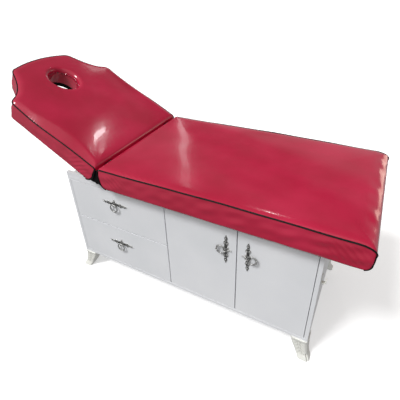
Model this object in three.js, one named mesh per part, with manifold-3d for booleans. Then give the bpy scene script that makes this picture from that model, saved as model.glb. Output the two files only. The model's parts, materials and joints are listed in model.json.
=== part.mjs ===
// Facial treatment bed: a two-part padded top on a white cabinet with two drawers and two doors.
// Millimetres, +Z up, front of the cabinet towards -Y, head end towards -X.
// Inside the group X is counted from the fold line between the pads. The group is then moved so that
// the origin lies under the middle of the whole bed, on the floor.
import * as THREE from 'three';
import { mergeVertices } from 'three/addons/utils/BufferGeometryUtils.js';
import Module from 'manifold-3d';

const wasm = await Module();
wasm.setup();

// ---- driving dimensions ----
const GAP = 0.3; // clearance between pieces that touch

// bed top
const PAD_HALF_WIDTH = 325;
const PAD_BOTTOM = 605;
const PAD_EDGE = 699; // where the side band ends and the crown begins
const PAD_TOP = 714; // middle of the crown
const MAIN_PAD_END = 1093;
const HEAD_PAD_LENGTH = 709;
const SHOULDER = 500; // full width of the head pad ends here
const FACE_HOLE = { x: -522, halfLength: 79, halfWidth: 66 };
const FOLD_GAP = 6; // each pad stops this far from the fold plane
const BOARD = 16; // thickness of every main board
const BOARD_INSET = 14;
const BOARD_FROM_FOLD = 50; // both boards stop this far from the fold plane
const BOARD_FROM_FOOT = 30;
const FOLD_ROUND = 45; // radius of the pads' lower edges at the fold
const HEAD_TILT = THREE.MathUtils.degToRad(29);
const PIVOT_Z = 690;

// strap hinges in the fold
const STRAP = { y: 242, width: 40, thick: 4.8, foot: 100, pin: 3, knuckle: 5.5 };

// stay that holds the head pad
const STAY = { y: 195, thick: 6, inner: 150, outer: 175, endAngle: 122 };
const CLAMP_ANGLE = 56;
const KNOB = { radius: 20, length: 22, screw: 4 };

// cabinet
const HEAD_END = -250;
const FOOT_END = 955;
const HALF_DEPTH = 281.5;
const CABINET_BOTTOM = 97;
const CABINET_TOP = 582;
const DIVIDER_X = 306; // middle of the divider
const DOOR_SPLIT_X = 637;
const DRAWER_SPLIT_Z = 351;
const FRONT_GAP = 2; // half of the gap between neighbouring fronts
const BACK_THICK = 8;
const SHELF_Z = 331;
const FOOT_HEIGHT = CABINET_BOTTOM - GAP;

// drawers
const DRAWER = { depth: 430, height: 165, side: 12, bottom: 6, rise: 20, sideGap: 12.5 };
const RUNNER = { web: 1.5, flange: 9.5, height: 42, slider: 34 };

// handles
const HANDLE_Z_UPPER = 498;
const HANDLE_Z_LOWER = 256;
const HANDLE_X = 29;
const DOOR_HANDLE = { leftX: 591, rightX: 684, leftZ: 455, rightZ: 450 };
const PLATE = { half: 73, thick: 3 };
const RING = { radius: 19, wire: 2.6, stand: 7.5 };

// derived heights and faces
const FRONT = -HALF_DEPTH;
const INSIDE_FRONT = FRONT + BOARD;
const INSIDE_BACK = HALF_DEPTH - BACK_THICK;
const INSIDE_LOW = CABINET_BOTTOM + BOARD;
const INSIDE_HIGH = CABINET_TOP - BOARD;
const HEAD_REACH = HEAD_PAD_LENGTH * Math.cos(HEAD_TILT) + (PIVOT_Z - PAD_BOTTOM) * Math.sin(HEAD_TILT);
const CENTRE_X = (MAIN_PAD_END - HEAD_REACH) / 2;

// ---- finishes ----
const FINISHES = {
  crimson_vinyl: { color: 0xb3213f, roughness: 0.22, metalness: 0 },
  plywood: { color: 0x8d6f4c, roughness: 0.7, metalness: 0 },
  white_melamine: { color: 0xe2e3e6, roughness: 0.35, metalness: 0 },
  black_steel: { color: 0x151515, roughness: 0.45, metalness: 0.6 },
  zinc_steel: { color: 0xb5b8bb, roughness: 0.35, metalness: 0.9 },
  pewter: { color: 0x6b6c68, roughness: 0.4, metalness: 0.85 },
  cream_gloss: { color: 0xf1ece0, roughness: 0.2, metalness: 0 },
  black_plastic: { color: 0x101010, roughness: 0.5, metalness: 0 },
};

// ---- solids ----
function toSolid(geometry) {
  const bare = geometry.clone();
  bare.deleteAttribute('normal');
  bare.deleteAttribute('uv');
  const merged = mergeVertices(bare, 1e-4);
  const vertProperties = new Float32Array(merged.attributes.position.array);
  const triVerts = new Uint32Array(merged.index.array);
  return new wasm.Manifold(new wasm.Mesh({ numProp: 3, vertProperties, triVerts }));
}

function toGeometry(solid) {
  const mesh = solid.getMesh();
  const geometry = new THREE.BufferGeometry();
  geometry.setAttribute('position', new THREE.BufferAttribute(mesh.vertProperties, 3));
  geometry.setIndex(new THREE.BufferAttribute(mesh.triVerts, 1));
  geometry.computeVertexNormals();
  return geometry;
}

const join = (first, ...others) =>
  toGeometry(others.reduce((sum, g) => sum.add(toSolid(g)), toSolid(first)));
const cut = (first, ...others) =>
  toGeometry(others.reduce((rest, g) => rest.subtract(toSolid(g)), toSolid(first)));
const common = (first, ...others) =>
  toGeometry(others.reduce((rest, g) => rest.intersect(toSolid(g)), toSolid(first)));

function box(x0, x1, y0, y1, z0, z1) {
  const geometry = new THREE.BoxGeometry(x1 - x0, y1 - y0, z1 - z0);
  return geometry.translate((x0 + x1) / 2, (y0 + y1) / 2, (z0 + z1) / 2);
}

function shapeOf(points) {
  return new THREE.Shape(points.map(([a, b]) => new THREE.Vector2(a, b)));
}

// a plan outline (x, y), raised from z0 to z1
function plan(shape, z0, z1, curveSegments = 12) {
  const options = { depth: z1 - z0, bevelEnabled: false, curveSegments };
  return new THREE.ExtrudeGeometry(shape, options).translate(0, 0, z0);
}

// a side profile (x, z), spread from y0 to y1
function sideProfile(shape, y0, y1, curveSegments = 12) {
  const options = { depth: y1 - y0, bevelEnabled: false, curveSegments };
  return new THREE.ExtrudeGeometry(shape, options).rotateX(Math.PI / 2).translate(0, y1, 0);
}

// a cross profile (y, z), spread from x0 to x1
function crossProfile(shape, x0, x1) {
  const options = { depth: x1 - x0, bevelEnabled: false };
  const turn = new THREE.Matrix4().makeBasis(
    new THREE.Vector3(0, 1, 0),
    new THREE.Vector3(0, 0, 1),
    new THREE.Vector3(1, 0, 0),
  );
  return new THREE.ExtrudeGeometry(shape, options).applyMatrix4(turn).translate(x0, 0, 0);
}

// a round bar along Y
function barAlongY(radius, y0, y1, x, z, sides = 16) {
  return new THREE.CylinderGeometry(radius, radius, y1 - y0, sides).translate(x, (y0 + y1) / 2, z);
}

// ---- scene graph ----
const bed = new THREE.Group();
bed.position.x = -CENTRE_X;

function addPiece(parent, name, geometry, finish) {
  const mesh = new THREE.Mesh(geometry, new THREE.MeshStandardMaterial(FINISHES[finish]));
  mesh.name = name;
  parent.add(mesh);
  return mesh;
}

// ---- bed top ----
// half of the crown's cross profile: [distance in from the edge, height]
const CROWN = [
  [0, PAD_EDGE],
  [7, 706],
  [35, 711],
  [85, PAD_TOP],
];

function padCrossShape() {
  const right = CROWN.map(([inset, z]) => [PAD_HALF_WIDTH - inset, z]);
  const left = right.map(([y, z]) => [-y, z]).reverse();
  return shapeOf([[PAD_HALF_WIDTH, PAD_BOTTOM], ...right, ...left, [-PAD_HALF_WIDTH, PAD_BOTTOM]]);
}

// side profile of a pad that runs from the fold to length; direction is +1 or -1 along X
function padSideShape(length, direction) {
  const foldEdge = [
    [FOLD_GAP, 692],
    [11, 702],
    [24, 709],
    [62, PAD_TOP],
  ];
  const lowerRound = [0, 1, 2, 3, 4].map((step) => {
    const turn = (step / 4) * (Math.PI / 2);
    const x = FOLD_GAP + FOLD_ROUND * (1 - Math.sin(turn));
    return [x, PAD_BOTTOM + FOLD_ROUND * (1 - Math.cos(turn))];
  });
  const farEdge = CROWN.map(([inset, z]) => [length - inset, z]).reverse();
  const points = [...lowerRound, ...foldEdge, ...farEdge, [length, PAD_BOTTOM]];
  return shapeOf(points.map(([x, z]) => [direction * x, z]));
}

// the head pad's outline: full width, a shoulder, a concave scallop, a corner and a bowed end
function headOutline() {
  const shape = new THREE.Shape();
  const side = PAD_HALF_WIDTH;
  shape.moveTo(-FOLD_GAP, side);
  shape.lineTo(-SHOULDER + 10, side);
  shape.quadraticCurveTo(-SHOULDER - 10, side, -SHOULDER - 20, side - 24);
  shape.bezierCurveTo(-SHOULDER - 45, 246, -SHOULDER - 100, 214, -660, 188);
  shape.quadraticCurveTo(-686, 176, -690, 148);
  shape.quadraticCurveTo(-2 * HEAD_PAD_LENGTH + 690, 0, -690, -148);
  shape.quadraticCurveTo(-686, -176, -660, -188);
  shape.bezierCurveTo(-SHOULDER - 100, -214, -SHOULDER - 45, -246, -SHOULDER - 20, -side + 24);
  shape.quadraticCurveTo(-SHOULDER - 10, -side, -SHOULDER + 10, -side);
  shape.lineTo(-FOLD_GAP, -side);
  return shape;
}

function ovalShape(grow) {
  const { x, halfLength, halfWidth } = FACE_HOLE;
  return new THREE.Shape().absellipse(x, 0, halfLength + grow, halfWidth + grow, 0, 2 * Math.PI, false, 0);
}

// the same outline moved inwards by a distance
function insetShape(shape, distance) {
  const points = shape.getPoints(12);
  const area = THREE.ShapeUtils.area(points);
  const distinct = points.filter((p, i) => p.distanceTo(points.at(i - 1)) > 1e-6);
  const moved = distinct.map((point, i) => {
    const before = distinct.at(i - 1);
    const after = distinct[(i + 1) % distinct.length];
    const edgeIn = point.clone().sub(before).normalize();
    const edgeOut = after.clone().sub(point).normalize();
    const along = edgeIn.add(edgeOut).normalize();
    const inward = new THREE.Vector2(-along.y, along.x).multiplyScalar(Math.sign(area));
    const corner = Math.max(0.6, Math.abs(along.dot(edgeOut)));
    return point.clone().addScaledVector(inward, distance / corner);
  });
  return new THREE.Shape(moved);
}

const mainOutline = shapeOf([
  [FOLD_GAP, -PAD_HALF_WIDTH],
  [MAIN_PAD_END, -PAD_HALF_WIDTH],
  [MAIN_PAD_END, PAD_HALF_WIDTH],
  [FOLD_GAP, PAD_HALF_WIDTH],
]);

const boardTop = PAD_BOTTOM + BOARD;

// the board under an outline, or with a clearance of GAP around it, the pocket that holds it
function boardSolid(outline, direction, length, clearance) {
  const ends = [BOARD_FROM_FOLD - clearance, length - BOARD_FROM_FOOT + clearance].map((x) => direction * x);
  const slab = plan(insetShape(outline, BOARD_INSET - clearance), PAD_BOTTOM - clearance, boardTop + clearance);
  const reach = PAD_HALF_WIDTH + 1;
  const room = box(Math.min(...ends), Math.max(...ends), -reach, reach, PAD_BOTTOM - 1, boardTop + 1);
  return common(slab, room);
}

// a pad: side profile and cross profile together, trimmed to its outline, less the pocket for its board
function padSolid(outline, direction, length, hole) {
  const side = sideProfile(padSideShape(length, direction), -PAD_HALF_WIDTH - 1, PAD_HALF_WIDTH + 1);
  const across = crossProfile(padCrossShape(), -HEAD_PAD_LENGTH - 1, MAIN_PAD_END + 1);
  const block = common(side, across, plan(outline, PAD_BOTTOM - 1, PAD_TOP + 1));
  const pocket = boardSolid(outline, direction, length, GAP);
  const pieces = hole ? [pocket, plan(ovalShape(0), PAD_BOTTOM - 2, PAD_TOP + 2, 16)] : [pocket];
  return cut(block, ...pieces);
}

addPiece(bed, 'main_pad', padSolid(mainOutline, 1, MAIN_PAD_END, false), 'crimson_vinyl');
addPiece(bed, 'main_board', boardSolid(mainOutline, 1, MAIN_PAD_END, 0), 'plywood');

// everything that tilts, built flat around the pivot and then raised
const headSection = new THREE.Group();
headSection.position.set(0, 0, PIVOT_Z);
headSection.rotation.y = HEAD_TILT;
bed.add(headSection);

const addHeadPiece = (name, geometry, finish) =>
  addPiece(headSection, name, geometry.translate(0, 0, -PIVOT_Z), finish);

addHeadPiece('head_pad', padSolid(headOutline(), -1, HEAD_PAD_LENGTH, true), 'crimson_vinyl');
const headBoard = boardSolid(headOutline(), -1, HEAD_PAD_LENGTH, 0);
const boardHole = plan(ovalShape(10), PAD_BOTTOM - 1, boardTop + 1, 16);
addHeadPiece('head_board', cut(headBoard, boardHole), 'plywood');

// ---- strap hinges ----
// an L-shaped leaf on the +X side of the fold, with knuckles over the given stretches of its width
function strapLeaf(yLow, knuckles) {
  const { width, thick, foot, pin, knuckle } = STRAP;
  const face = 0.4;
  const footTop = PAD_BOTTOM - GAP;
  const armTop = PIVOT_Z - knuckle - 1;
  const arm = box(face, face + thick, yLow, yLow + width, footTop - thick, armTop);
  const under = box(face, face + foot, yLow, yLow + width, footTop - thick, footTop);
  const rounds = knuckles.flatMap(([from, to]) => [
    barAlongY(knuckle, yLow + from, yLow + to, 0, PIVOT_Z),
    box(face, face + thick, yLow + from, yLow + to, armTop - 1, PIVOT_Z),
  ]);
  const bore = barAlongY(pin + GAP, yLow - 1, yLow + width + 1, 0, PIVOT_Z);
  return cut(join(arm, under, ...rounds), bore);
}

for (const [place, side] of [['front', -1], ['rear', 1]]) {
  const yLow = side * STRAP.y - STRAP.width / 2;
  const outer = [[0, 10], [STRAP.width - 10, STRAP.width]];
  const middle = [[10 + GAP, STRAP.width - 10 - GAP]];
  addPiece(bed, `hinge_fixed_leaf_${place}`, strapLeaf(yLow, outer), 'black_steel');
  const moving = strapLeaf(-yLow - STRAP.width, middle).rotateZ(Math.PI);
  addHeadPiece(`hinge_moving_leaf_${place}`, moving, 'black_steel');
  const pin = barAlongY(STRAP.pin, yLow, yLow + STRAP.width, 0, PIVOT_Z);
  addPiece(bed, `hinge_pin_${place}`, pin, 'zinc_steel');
}

// ---- stay, clamp and knob ----
// a band about the pivot, between two radii and two angles counted from -X downwards
function arcBand(inner, outer, fromDegrees, toDegrees) {
  const start = Math.PI + THREE.MathUtils.degToRad(fromDegrees);
  const end = Math.PI + THREE.MathUtils.degToRad(toDegrees);
  const shape = new THREE.Shape();
  shape.absarc(0, PIVOT_Z, outer, start, end, false);
  shape.absarc(0, PIVOT_Z, inner, end, start, true);
  return shape;
}

const stayLow = STAY.y - STAY.thick / 2;
const stayHigh = STAY.y + STAY.thick / 2;
const stayFootTop = PAD_BOTTOM - GAP;
const stayBand = sideProfile(arcBand(STAY.inner, STAY.outer, 20, STAY.endAngle), stayLow, stayHigh, 20);
const stayFoot = box(-180, -96, STAY.y - 15, STAY.y + 15, stayFootTop - 4.5, stayFootTop);
const aboveFoot = box(-300, 0, stayLow - 1, stayHigh + 1, stayFootTop, PIVOT_Z + 50);
addHeadPiece('stay_arc', join(cut(stayBand, aboveFoot), stayFoot), 'black_steel');

const clampTurn = THREE.MathUtils.degToRad(CLAMP_ANGLE);
const stayMiddle = (STAY.inner + STAY.outer) / 2;
const knobX = -stayMiddle * Math.cos(clampTurn);
const knobZ = PIVOT_Z - stayMiddle * Math.sin(clampTurn);
const clampBlock = box(-118, -66, STAY.y - 17, STAY.y + 17, 528, INSIDE_HIGH - GAP);
const clampSlot = sideProfile(
  arcBand(STAY.inner - 2, STAY.outer + 2, 0, 180), stayLow - 0.6, stayHigh + 0.6, 24,
);
const clampBore = barAlongY(KNOB.screw + 0.4, STAY.y, STAY.y + 20, knobX, knobZ);
addPiece(bed, 'stay_clamp', cut(clampBlock, clampSlot, clampBore), 'black_steel');

const knobBack = HALF_DEPTH + 2;
const knobBody = barAlongY(KNOB.radius - 3, knobBack, knobBack + KNOB.length, knobX, knobZ, 20);
const knobLobes = Array.from({ length: 5 }, (_, i) => {
  const turn = (i / 5) * 2 * Math.PI;
  const x = knobX + 14 * Math.cos(turn);
  const z = knobZ + 14 * Math.sin(turn);
  return barAlongY(KNOB.radius - 14, knobBack, knobBack + KNOB.length, x, z, 12);
});
const knobScrew = barAlongY(KNOB.screw, stayHigh + 0.4, knobBack + 1, knobX, knobZ);
addPiece(bed, 'clamp_knob', join(knobBody, ...knobLobes, knobScrew), 'black_plastic');

// ---- cabinet ----
const white = 'white_melamine';
addPiece(
  bed,
  'cabinet_bottom',
  box(HEAD_END, FOOT_END, FRONT, HALF_DEPTH, CABINET_BOTTOM, INSIDE_LOW),
  white,
);
const staySlot = box(-146, -76, STAY.y - 7, STAY.y + 7, INSIDE_HIGH - 1, CABINET_TOP + 1);
addPiece(
  bed,
  'cabinet_top',
  cut(box(HEAD_END, FOOT_END, FRONT, HALF_DEPTH, INSIDE_HIGH, CABINET_TOP), staySlot),
  white,
);

const panelLow = INSIDE_LOW + GAP;
const panelHigh = INSIDE_HIGH - GAP;
const headInside = HEAD_END + BOARD;
const footInside = FOOT_END - BOARD;
const dividerLeft = DIVIDER_X - BOARD / 2;
const dividerRight = DIVIDER_X + BOARD / 2;
addPiece(bed, 'end_panel_head', box(HEAD_END, headInside, FRONT, HALF_DEPTH, panelLow, panelHigh), white);
addPiece(bed, 'end_panel_foot', box(footInside, FOOT_END, FRONT, HALF_DEPTH, panelLow, panelHigh), white);
addPiece(
  bed,
  'divider_panel',
  box(dividerLeft, dividerRight, INSIDE_FRONT + 1, INSIDE_BACK - GAP, panelLow, panelHigh),
  white,
);
const backBoard = box(headInside + GAP, footInside - GAP, INSIDE_BACK, HALF_DEPTH, panelLow, panelHigh);
const screwHole = barAlongY(KNOB.screw + 2, INSIDE_BACK - 1, HALF_DEPTH + 1, knobX, knobZ);
addPiece(bed, 'back_panel', cut(backBoard, screwHole), white);
addPiece(
  bed,
  'cupboard_shelf',
  box(dividerRight + GAP, footInside - GAP, INSIDE_FRONT + 10, INSIDE_BACK - GAP, SHELF_Z, SHELF_Z + BOARD),
  white,
);

// battens on the cabinet top that carry the bed boards
for (const [place, side] of [['front', -1], ['rear', 1]]) {
  const outerFace = side * HALF_DEPTH;
  const innerFace = side * (HALF_DEPTH - BOARD);
  const [yLow, yHigh] = [Math.min(outerFace, innerFace), Math.max(outerFace, innerFace)];
  const rail = box(HEAD_END, FOOT_END, yLow, yHigh, CABINET_TOP + GAP, PAD_BOTTOM - GAP);
  addPiece(bed, `bed_rail_${place}`, rail, white);
}

// ---- feet ----
// levels of a bracket foot: [height, half width, outward shift of the middle from the top's middle]
const FOOT_LEVELS = [
  [FOOT_HEIGHT, 37, 0],
  [86, 37, 0],
  [82, 35, 1],
  [66, 33, 3],
  [50, 30, 8],
  [36, 27, 13],
  [22, 25, 18],
  [12, 24, 24],
  [5, 25, 28],
  [0, 24, 30],
];
const FOOT_OVERHANG = 5; // top block stands this far outside the cabinet's corner

// a rounded square swept down through the levels, leaning outwards to (outX, outY)
function footSolid(outX, outY) {
  const geometry = new THREE.CylinderGeometry(1, 1, 1, 24, FOOT_LEVELS.length - 1).rotateX(Math.PI / 2);
  const position = geometry.attributes.position;
  const point = new THREE.Vector3();
  for (let i = 0; i < position.count; i += 1) {
    point.fromBufferAttribute(position, i);
    const step = Math.round((0.5 - point.z) * (FOOT_LEVELS.length - 1));
    const [height, half, shift] = FOOT_LEVELS[step];
    const radius = Math.hypot(point.x, point.y);
    const angle = Math.atan2(point.y, point.x);
    const squareness = 1 / (Math.abs(Math.cos(angle)) ** 5 + Math.abs(Math.sin(angle)) ** 5) ** (1 / 5);
    const reach = radius * half * squareness;
    position.setXYZ(
      i,
      reach * Math.cos(angle) + outX * shift,
      reach * Math.sin(angle) + outY * shift,
      height,
    );
  }
  return geometry;
}

const footHalf = FOOT_LEVELS[0][1];
for (const [depthName, outY] of [['front', -1], ['rear', 1]]) {
  for (const [endName, outX] of [['head', -1], ['foot', 1]]) {
    const cornerX = outX < 0 ? HEAD_END : FOOT_END;
    const middleX = cornerX + outX * (FOOT_OVERHANG - footHalf);
    const middleY = outY * (HALF_DEPTH + FOOT_OVERHANG - footHalf);
    const foot = footSolid(outX, outY).translate(middleX, middleY, 0);
    addPiece(bed, `foot_${depthName}_${endName}`, foot, 'cream_gloss');
  }
}

// ---- hook on the foot end ----
const hookFace = FOOT_END + GAP;
const hookShape = shapeOf([
  [hookFace, 424],
  [hookFace + 10, 424],
  [hookFace + 19, 433],
  [hookFace + 19, 448],
  [hookFace + 15, 448],
  [hookFace + 15, 436],
  [hookFace + 9, 430],
  [hookFace + 3, 430],
  [hookFace + 3, 468],
  [hookFace, 468],
]);
addPiece(bed, 'side_hook', sideProfile(hookShape, -264, -250), 'cream_gloss');

// ---- handles ----
// half of the plate's outline: [distance from the middle, half width]
const PLATE_OUTLINE = [
  [0, 14],
  [8, 12.5],
  [14, 6.5],
  [20, 6],
  [28, 10.5],
  [35, 11.5],
  [42, 6.5],
  [47, 4.5],
  [54, 7.5],
  [60, 6.5],
  [66, 3.5],
  [PLATE.half, 1.2],
];

// a plate along X, its back on the plane y = 0, its front towards -Y, with an eyelet about the X axis
function handlePlate() {
  const quarter = new THREE.SplineCurve(PLATE_OUTLINE.map(([a, b]) => new THREE.Vector2(a, b)));
  const points = quarter.getPoints(26).map((p) => [p.x, p.y]);
  const left = points.slice(1).map(([x, z]) => [-x, z]).reverse();
  const upper = [...left, ...points];
  const lower = upper.map(([x, z]) => [x, -z]).reverse();
  const plate = sideProfile(shapeOf([...upper, ...lower]), -PLATE.thick, 0);
  const eyeY = -PLATE.thick - RING.stand;
  const eyelet = new THREE.TorusGeometry(5, 1.8, 8, 14).rotateY(Math.PI / 2).translate(0, eyeY, 0);
  const post = barAlongY(3, -PLATE.thick - 3, -PLATE.thick + 1, 0, 0, 12);
  const finialStem = new THREE.CylinderGeometry(1.8, 2.6, 12, 10)
    .rotateX(Math.PI / 2)
    .translate(0, -PLATE.thick, 15);
  const finialBall = new THREE.SphereGeometry(3.4, 12, 8).translate(0, -PLATE.thick, 21);
  return cut(join(plate, eyelet, post, finialStem, finialBall), box(-10, 10, 0, 10, 0, 30));
}

// the ring in the plate's frame: it hangs from the eyelet towards -Z
function handleRing() {
  return new THREE.TorusGeometry(RING.radius, RING.wire, 8, 28)
    .rotateX(Math.PI / 2)
    .translate(0, -PLATE.thick - RING.stand, -RING.radius);
}

const HANDLES = [
  { owner: 'drawer_upper', x: HANDLE_X, z: HANDLE_Z_UPPER, turn: 0 },
  { owner: 'drawer_lower', x: HANDLE_X, z: HANDLE_Z_LOWER, turn: 0 },
  { owner: 'door_left', x: DOOR_HANDLE.leftX, z: DOOR_HANDLE.leftZ, turn: Math.PI / 2 },
  { owner: 'door_right', x: DOOR_HANDLE.rightX, z: DOOR_HANDLE.rightZ, turn: -Math.PI / 2 },
];
for (const { owner, x, z, turn } of HANDLES) {
  const handle = new THREE.Group();
  handle.position.set(x, FRONT - GAP, z);
  handle.rotation.y = turn;
  bed.add(handle);
  addPiece(handle, `${owner}_handle_plate`, handlePlate(), 'pewter');
  addPiece(handle, `${owner}_ring`, handleRing(), 'pewter');
}

// ---- drawers ----
// a fixed channel on the wall at x = wall, open towards the drawer, and the slider inside it
function fixedRunner(wall, towards, middleZ, yLow, yHigh) {
  const { web, flange, height } = RUNNER;
  const half = height / 2;
  const start = wall + towards * GAP;
  const profile = (from, to, zLow, zHigh) => {
    const [x0, x1] = [Math.min(from, to), Math.max(from, to)];
    return box(x0, x1, yLow, yHigh, zLow, zHigh);
  };
  return join(
    profile(start, start + towards * web, middleZ - half, middleZ + half),
    profile(start, start + towards * flange, middleZ - half, middleZ - half + web),
    profile(start, start + towards * flange, middleZ + half - web, middleZ + half),
  );
}

function movingRunner(drawerFace, towards, middleZ, yLow, yHigh) {
  const outer = drawerFace - towards * GAP;
  const inner = drawerFace - towards * (DRAWER.sideGap - 3);
  const [x0, x1] = [Math.min(outer, inner), Math.max(outer, inner)];
  return box(x0, x1, yLow, yHigh, middleZ - RUNNER.slider / 2, middleZ + RUNNER.slider / 2);
}

const DRAWERS = [
  { name: 'drawer_upper', low: DRAWER_SPLIT_Z + FRONT_GAP, high: INSIDE_HIGH - FRONT_GAP },
  { name: 'drawer_lower', low: INSIDE_LOW + FRONT_GAP, high: DRAWER_SPLIT_Z - FRONT_GAP },
];
const drawerLeft = headInside + DRAWER.sideGap;
const drawerRight = dividerLeft - DRAWER.sideGap;
const boxFront = INSIDE_FRONT + GAP;
const boxBack = boxFront + DRAWER.depth;
for (const { name, low, high } of DRAWERS) {
  const boxLow = low + DRAWER.rise;
  const boxHigh = boxLow + DRAWER.height;
  const innerLeft = drawerLeft + DRAWER.side;
  const innerRight = drawerRight - DRAWER.side;
  const bottomLow = boxLow + 8;
  const backLow = bottomLow + DRAWER.bottom + GAP;
  const runnerZ = boxLow + 60;
  const frontPanel = box(
    headInside + FRONT_GAP, DIVIDER_X - FRONT_GAP, FRONT, INSIDE_FRONT, low, high,
  );
  addPiece(bed, `${name}_front`, frontPanel, white);
  addPiece(bed, `${name}_side_left`, box(drawerLeft, innerLeft, boxFront, boxBack, boxLow, boxHigh), white);
  addPiece(bed, `${name}_side_right`, box(innerRight, drawerRight, boxFront, boxBack, boxLow, boxHigh), white);
  const backWall = box(
    innerLeft + GAP, innerRight - GAP, boxBack - DRAWER.side, boxBack, backLow, boxHigh,
  );
  addPiece(bed, `${name}_back`, backWall, white);
  const bottomPanel = box(
    innerLeft + GAP, innerRight - GAP, boxFront, boxBack, bottomLow, bottomLow + DRAWER.bottom,
  );
  addPiece(bed, `${name}_bottom`, bottomPanel, white);
  for (const [side, wall, towards, face] of [
    ['left', headInside, 1, drawerLeft],
    ['right', dividerLeft, -1, drawerRight],
  ]) {
    const fixed = fixedRunner(wall, towards, runnerZ, boxFront + 4, boxBack + 10);
    addPiece(bed, `${name}_runner_fixed_${side}`, fixed, 'zinc_steel');
    const moving = movingRunner(face, towards, runnerZ, boxFront + 2, boxBack);
    addPiece(bed, `${name}_runner_moving_${side}`, moving, 'zinc_steel');
  }
}

// ---- doors ----
const DOORS = [
  { name: 'door_left', from: DIVIDER_X + FRONT_GAP, to: DOOR_SPLIT_X - FRONT_GAP, wall: dividerRight, into: 1 },
  { name: 'door_right', from: DOOR_SPLIT_X + FRONT_GAP, to: footInside - FRONT_GAP, wall: footInside, into: -1 },
];
const doorLow = INSIDE_LOW + FRONT_GAP;
const doorHigh = INSIDE_HIGH - FRONT_GAP;
const HINGE_HEIGHTS = { lower: doorLow + 75, upper: doorHigh - 75 };

// the arm of a concealed hinge: a plate on the wall and an arm that reaches forward to the door
function hingeArm(wall, into, middleZ) {
  const at = (from, to, y0, y1, half) => {
    const x0 = wall + into * from;
    const x1 = wall + into * to;
    return box(Math.min(x0, x1), Math.max(x0, x1), y0, y1, middleZ - half, middleZ + half);
  };
  const plate = at(GAP, 3, INSIDE_FRONT + 28, INSIDE_FRONT + 72, 24);
  const arm = at(2, 13, INSIDE_FRONT + 1, INSIDE_FRONT + 66, 8);
  return join(plate, arm);
}

for (const { name, from, to, wall, into } of DOORS) {
  addPiece(bed, name, box(from, to, FRONT, INSIDE_FRONT, doorLow, doorHigh), white);
  for (const [level, z] of Object.entries(HINGE_HEIGHTS)) {
    addPiece(bed, `${name}_hinge_${level}`, hingeArm(wall, into, z), 'zinc_steel');
  }
}

export default bed;
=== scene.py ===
"""Looks of the facial treatment bed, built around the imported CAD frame. Metres throughout."""

import json
import math

import bmesh
import bpy
import numpy as np
from mathutils import Matrix, Vector


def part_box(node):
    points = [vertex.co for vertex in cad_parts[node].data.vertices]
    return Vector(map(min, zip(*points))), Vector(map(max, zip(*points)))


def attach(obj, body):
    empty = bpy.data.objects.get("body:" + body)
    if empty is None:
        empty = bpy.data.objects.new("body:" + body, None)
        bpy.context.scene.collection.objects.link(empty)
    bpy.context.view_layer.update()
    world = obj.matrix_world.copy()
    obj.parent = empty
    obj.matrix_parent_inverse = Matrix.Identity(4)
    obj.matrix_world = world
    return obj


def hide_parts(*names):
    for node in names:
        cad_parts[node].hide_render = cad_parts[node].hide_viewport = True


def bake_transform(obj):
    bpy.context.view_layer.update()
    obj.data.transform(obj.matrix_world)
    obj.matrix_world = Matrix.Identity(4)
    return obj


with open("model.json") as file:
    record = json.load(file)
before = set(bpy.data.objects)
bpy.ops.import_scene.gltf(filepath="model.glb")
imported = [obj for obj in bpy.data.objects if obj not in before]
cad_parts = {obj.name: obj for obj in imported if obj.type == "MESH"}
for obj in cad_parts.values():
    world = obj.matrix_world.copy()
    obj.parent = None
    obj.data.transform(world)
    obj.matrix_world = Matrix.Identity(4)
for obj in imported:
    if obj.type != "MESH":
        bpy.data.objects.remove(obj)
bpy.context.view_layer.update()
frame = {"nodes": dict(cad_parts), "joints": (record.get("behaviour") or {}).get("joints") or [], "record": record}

MM = 0.001

# ---- driving dimensions, from the frame ----
JOINTS = {joint["name"]: joint for joint in frame["joints"]}
PIVOT = Vector(JOINTS["head_tilt"]["pos_m"])
REST_TILT = math.radians(-JOINTS["head_tilt"]["range_deg"][0])
MAIN_LOW, MAIN_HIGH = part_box("main_pad")
HALF_WIDTH = MAIN_HIGH.y
PAD_BOTTOM = MAIN_LOW.z
PAD_TOP = MAIN_HIGH.z
MAIN_LENGTH = MAIN_HIGH.x - PIVOT.x
FOLD_GAP = MAIN_LOW.x - PIVOT.x
CABINET_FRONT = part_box("door_left")[0].y
STRAP_LOW, STRAP_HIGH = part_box("hinge_fixed_leaf_rear")
STRAP_MIDDLE = (STRAP_LOW.y + STRAP_HIGH.y) / 2
STRAP_HALF = (STRAP_HIGH.y - STRAP_LOW.y) / 2

# ---- pads ----
CROWN_RISE = 15 * MM  # how far the tops stand above a level seam
PAD_EDGE = PAD_TOP - CROWN_RISE
CROWN_SHOULDER = 30 * MM  # how far in from the edge the top rounds over
HEAD_LENGTH = 709 * MM
HOLE = {"s": 522 * MM, "half_length": 79 * MM, "half_width": 66 * MM}
FOLD_ROUND = 43 * MM  # lower edge of each pad at the fold
CORNER_DROP = 10 * MM  # how far the pads' top edges fall at the fold
CORNER_RUN = 16 * MM  # and over what length
FOOT_DROP = 26 * MM  # how far the edges fall at the foot end
FOOT_RUN = 58 * MM  # and over what length
SEAM_RISE = 1.5 * MM  # the piping stands this far above the seam
SEAM_OUT = 0.6 * MM  # and this far outside it
MAIN_SEAM_LIFT = {"height": 6 * MM, "middle": 600 * MM, "width": 330 * MM}
HEAD_SEAM_DIP = {"height": 15 * MM, "middle": 370 * MM, "width": 160 * MM}
FOOT_ROUND = 27 * MM  # lower edge of the main pad's foot end
FOOT_TAPER = 5 * MM  # how far the foot end leans in towards its lower edge
BAND_BULGE = 2.4 * MM
LOWER_ROUND = 5 * MM
BAND_DROOP = 2.0 * MM  # how far the main pad's side band sags at its lower edge
POCKET = {"side": 13.6 * MM, "fold": 49.5 * MM, "far": 29.5 * MM, "top": PAD_BOTTOM + 16.6 * MM}
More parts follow.
